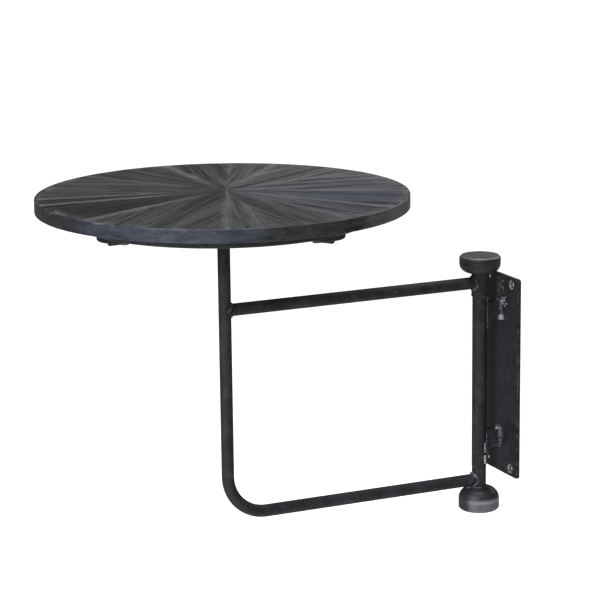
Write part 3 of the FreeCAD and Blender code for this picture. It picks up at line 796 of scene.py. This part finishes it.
def bar_welds():
    """Beads where the bars meet the collars and the post."""
    shape = bmesh.new()
    upper_end = saddle_path(hinge, extent("upper_collar").x / 2, OUT, upper_bar_z)
    lower_end = saddle_path(hinge, extent("lower_collar").x / 2, OUT, lower_bar_z)
    post_end = saddle_path(post, bar_radius, -OUT, upper_bar_z)
    add_bead(shape, upper_end, UPPER_BAR_BEAD, OUT, closed=True, seed=1)
    add_bead(shape, lower_end, LOWER_BAR_BEAD, OUT, closed=True, seed=2)
    add_bead(shape, post_end, POST_BEAD, -OUT, closed=True, seed=3)
    piece_of("bar_welds", shape, painted_welds, "swing_arm")


def hub_welds():
    """Beads where the spider's arms meet the hub, and the hub meets the post."""
    shape = bmesh.new()
    hub_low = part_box("spider_hub")[0].z
    hub_radius = extent("spider_hub").x / 2
    arm_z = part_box("spider_arm_01")[0].z + bar_radius
    for number in (1, 2, 3):
        outward = middle(f"spider_arm_{number:02d}") - post
        outward.z = 0
        outward.normalize()
        path = saddle_path(post, hub_radius, outward, arm_z)
        add_bead(shape, path, ARM_BEAD, outward, closed=True, seed=10 + number)
    foot = Vector((post.x, post.y, hub_low))
    add_bead(shape, ring_path(foot, bar_radius + HUB_BEAD_LIFT), HUB_BEAD, UP, closed=True, seed=14)
    piece_of("hub_welds", shape, painted_welds, "swing_arm")


def neck_weld():
    """Beads where the lower collar stands on the bottom knob, and where the lower bar passes over it."""
    shape = bmesh.new()
    foot = Vector((hinge.x, hinge.y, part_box("lower_collar")[0].z))
    radius = extent("lower_collar").x / 2
    add_bead(shape, ring_path(foot, radius + NECK_BEAD_LIFT), NECK_BEAD, UP, closed=True, seed=20)
    near = foot + Vector((0, -radius - NECK_RUN_NEAR, NECK_RUN_TILT))
    far = foot + Vector((0, -radius - NECK_RUN_FAR, -NECK_RUN_TILT))
    add_bead(shape, straight(near, far), NECK_RUN, UP, closed=False, seed=21)
    piece_of("neck_weld", shape, painted_welds, "swing_arm")


def standoff_welds(name, above, below, seed):
    """Beads round a stand-off on the plate, and up and down the sleeve beside it."""
    shape = bmesh.new()
    low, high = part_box(name)
    corners = [Vector((x, plate_front, z)) for x, z in
               ((low.x, low.z), (high.x, low.z), (high.x, high.z), (low.x, high.z))]
    add_bead(shape, loop_through(corners), STANDOFF_BEAD, OUT, closed=True, seed=seed)
    sleeve_radius = extent("hinge_sleeve").x / 2
    for side in (low.x, high.x):
        y = hinge.y + math.sqrt(sleeve_radius ** 2 - side ** 2)
        path = straight(Vector((side, y, low.z - below)), Vector((side, y, high.z + above)))
        add_bead(shape, path, SLEEVE_BEAD, OUT, closed=False, seed=seed + 1)
    piece_of(f"{name}_welds", shape, streaked_welds, "wall_bracket")


# Bare runs past the stand-offs' right-hand corners: lengths below and above the corner, and thickness
UPPER_FOOT_RUN = (0.002, 0.006, 0.0044)
UPPER_HEAD_RUN = (0.004, 0.003, 0.0026)
LOWER_HEAD_RUN = (0.006, -0.002, 0.0026)

# How far those runs lie beside the block and off the plate
CORNER_ASIDE = 0.0012
CORNER_LIFT = 0.0004

# Bare run on the lower stand-off: how far in from its right-hand side, and how long
LEDGE_INSET = 0.001
LEDGE_LENGTH = 0.007

# Bare runs on the hinge sleeve: direction from the pin, then start, end and thickness of each
SLEEVE_RUN_TURN = math.radians(114)
SLEEVE_RUNS = ((-0.019, -0.008, 0.0016), (-0.006, 0.007, 0.0008))

# Thin strokes strewn over the plate: how many, and the ranges of their place, slope and length
STROKE_COUNT = 12
STROKE_X = (0.004, 0.014)
STROKE_RISE = (-0.006, 0.004)
STROKE_SLOPE = (0.2, 1.4)
STROKE_LENGTH = (0.002, 0.005)


def corner_bead(shape, corner, below, above, thickness):
    """Coarse run on the plate past a right-hand corner of a stand-off."""
    first = corner.z - below
    last = corner.z + above
    foot = Vector((corner.x + CORNER_ASIDE, plate_front - CORNER_LIFT, first))
    run = straight(foot, foot + UP * (last - first))
    add_bead(shape, run, thickness, OUT, closed=False, seed=51)


def sleeve_runs(shape, level):
    """Runs up the side of the sleeve, below and above a level."""
    outward = Vector((math.sin(SLEEVE_RUN_TURN), -math.cos(SLEEVE_RUN_TURN), 0))
    beside = Vector((hinge.x, hinge.y, level)) + outward * extent("hinge_sleeve").x / 2
    for first, last, thickness in SLEEVE_RUNS:
        run = straight(beside + UP * first, beside + UP * last)
        add_bead(shape, run, thickness, outward, closed=False, seed=53)


def ledge_run(shape, corner):
    """Run out from the plate along an upper right-hand edge of a stand-off."""
    ledge = Vector((corner.x - LEDGE_INSET, plate_front, corner.z))
    run = straight(ledge, ledge + OUT * LEDGE_LENGTH)
    add_bead(shape, run, LEDGE_BEAD, UP, closed=False, seed=52)


def strewn_strokes(shape, level):
    """Thin strokes of weld metal on the plate, below and above a level."""
    chance = random.Random(50)
    for stroke in range(STROKE_COUNT):
        x = chance.uniform(*STROKE_X)
        foot = Vector((x, plate_front, level + chance.uniform(*STROKE_RISE)))
        slope = chance.uniform(*STROKE_SLOPE)
        tip = foot + Vector((math.cos(slope), 0, math.sin(slope))) * chance.uniform(*STROKE_LENGTH)
        add_bead(shape, straight(foot, tip), STROKE_BEAD, OUT, closed=False, seed=60 + stroke)


def corner_runs():
    """Bare weld metal at the stand-offs, in one piece."""
    shape = bmesh.new()
    upper_low, upper_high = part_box("upper_standoff")
    lower_low, lower_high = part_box("lower_standoff")
    upper_foot = Vector((upper_high.x, upper_high.y, upper_low.z))
    corner_bead(shape, upper_foot, *UPPER_FOOT_RUN)
    corner_bead(shape, upper_high, *UPPER_HEAD_RUN)
    corner_bead(shape, lower_high, *LOWER_HEAD_RUN)
    sleeve_runs(shape, lower_low.z)
    ledge_run(shape, lower_high)
    strewn_strokes(shape, upper_high.z)
    piece_of("corner_runs", shape, bare_welds, "wall_bracket")


# Drops on the plate round each stand-off: how many, and the ranges of their place and size
DROP_COUNT = 10
DROP_ASIDE = (0.008, 0.022)
DROP_ABOVE = 0.004
DROP_SPREAD = 0.014
DROP_SIZE = (0.0004, 0.0011)
DROP_FLATNESS = 0.6


def plate_spatter():
    """Drops of weld metal on the plate near the stand-offs."""
    chance = random.Random(7)
    shape = bmesh.new()
    for name in ("upper_standoff", "lower_standoff"):
        centre = middle(name)
        for drop in range(DROP_COUNT):
            x = chance.choice((-1, 1)) * chance.uniform(*DROP_ASIDE)
            z = centre.z + chance.gauss(DROP_ABOVE, DROP_SPREAD)
            size = chance.uniform(*DROP_SIZE)
            flat = Matrix.Diagonal((size, size * DROP_FLATNESS, size, 1))
            place = Matrix.Translation((x, plate_front, z)) @ flat
            bmesh.ops.create_icosphere(shape, subdivisions=2, radius=1, matrix=place)
    piece_of("plate_spatter", shape, streaked_welds, "wall_bracket")


seam_filler()
bar_welds()
hub_welds()
neck_weld()
standoff_welds("upper_standoff", above=0.007, below=0.010, seed=30)
standoff_welds("lower_standoff", above=0.000, below=0.019, seed=40)
corner_runs()
plate_spatter()


# Floor, light and camera

FLOOR_Z = -0.75
FLOOR_HALF = 30.0
FLOOR_COLOUR = (0.9, 0.9, 0.9, 1)
FLOOR_ROUGHNESS = 0.9
WHITE = (1, 1, 1, 1)
SENSOR_WIDTH = 36
CAMERA_PLACE = Vector((2.3402, -1.3117, 0.6877))


def floor():
    """Pale floor well below the table, as bright to the camera as the backdrop."""
    shape = bmesh.new()
    bmesh.ops.create_grid(shape, x_segments=8, y_segments=8, size=FLOOR_HALF)
    bmesh.ops.translate(shape, vec=(0, 0, FLOOR_Z), verts=shape.verts)
    mesh = bpy.data.meshes.new("floor")
    shape.to_mesh(mesh)
    shape.free()
    material = bpy.data.materials.new("floor_white")
    material.use_nodes = True
    shader = material.node_tree.nodes["Principled BSDF"]
    shader.inputs["Base Color"].default_value = FLOOR_COLOUR
    shader.inputs["Roughness"].default_value = FLOOR_ROUGHNESS
    shader.inputs["Emission Color"].default_value = WHITE
    path = material.node_tree.nodes.new("ShaderNodeLightPath")
    material.node_tree.links.new(path.outputs["Is Camera Ray"], shader.inputs["Emission Strength"])
    mesh.materials.append(material)
    ground = bpy.data.objects.new("floor", mesh)
    bpy.context.scene.collection.objects.link(ground)


def backdrop(seen, shed):
    """White all round for the camera, and a weaker even light on the table."""
    world = bpy.data.worlds.new("studio")
    bpy.context.scene.world = world
    world.use_nodes = True
    tree = world.node_tree
    background = tree.nodes["Background"]
    path = tree.nodes.new("ShaderNodeLightPath")
    strength = tree.nodes.new("ShaderNodeMapRange")
    strength.inputs["To Min"].default_value = shed
    strength.inputs["To Max"].default_value = seen
    tree.links.new(path.outputs["Is Camera Ray"], strength.inputs["Value"])
    tree.links.new(strength.outputs["Result"], background.inputs["Strength"])
    background.inputs["Color"].default_value = WHITE


def direction(azimuth, elevation):
    """Unit vector from the table towards a viewing angle in degrees."""
    turn, rise = math.radians(azimuth), math.radians(elevation)
    return Vector((math.sin(turn) * math.cos(rise), -math.cos(turn) * math.cos(rise), math.sin(rise)))


def softbox(name, azimuth, elevation, distance, side, power):
    """Square soft light that faces the middle of the table."""
    light = bpy.data.lights.new(name, "AREA")
    light.size = side
    light.energy = power
    lamp = bpy.data.objects.new(name, light)
    target = (solids_box[0] + solids_box[1]) / 2
    back = direction(azimuth, elevation)
    lamp.location = target + back * distance
    lamp.rotation_mode = "QUATERNION"
    lamp.rotation_quaternion = back.to_track_quat("Z", "Y")
    bpy.context.scene.collection.objects.link(lamp)


def camera(place, azimuth, elevation, roll, lens):
    """Camera at the photograph's viewpoint."""
    data = bpy.data.cameras.new("camera")
    data.lens = lens
    data.sensor_width = SENSOR_WIDTH
    back = direction(azimuth, elevation)
    turn = math.radians(azimuth)
    right = Vector((math.cos(turn), math.sin(turn), 0))
    axes = Matrix((right, back.cross(right), back)).transposed().to_4x4()
    viewer = bpy.data.objects.new("camera", data)
    viewer.matrix_world = Matrix.Translation(place) @ axes @ Matrix.Rotation(math.radians(roll), 4, "Z")
    bpy.context.scene.collection.objects.link(viewer)
    bpy.context.scene.camera = viewer


floor()
backdrop(seen=1.0, shed=0.14)
softbox("key_light", azimuth=36, elevation=24, distance=2.2, side=0.9, power=42)
softbox("top_light", azimuth=65, elevation=82, distance=2.0, side=1.6, power=30)
softbox("right_light", azimuth=112, elevation=15, distance=2.2, side=0.9, power=3.2)
softbox("rear_light", azimuth=197, elevation=40, distance=2.2, side=1.2, power=13)
camera(CAMERA_PLACE, azimuth=65.4506, elevation=12.8524, roll=-0.6354, lens=140.946)
bpy.context.scene.view_settings.view_transform = "Standard"
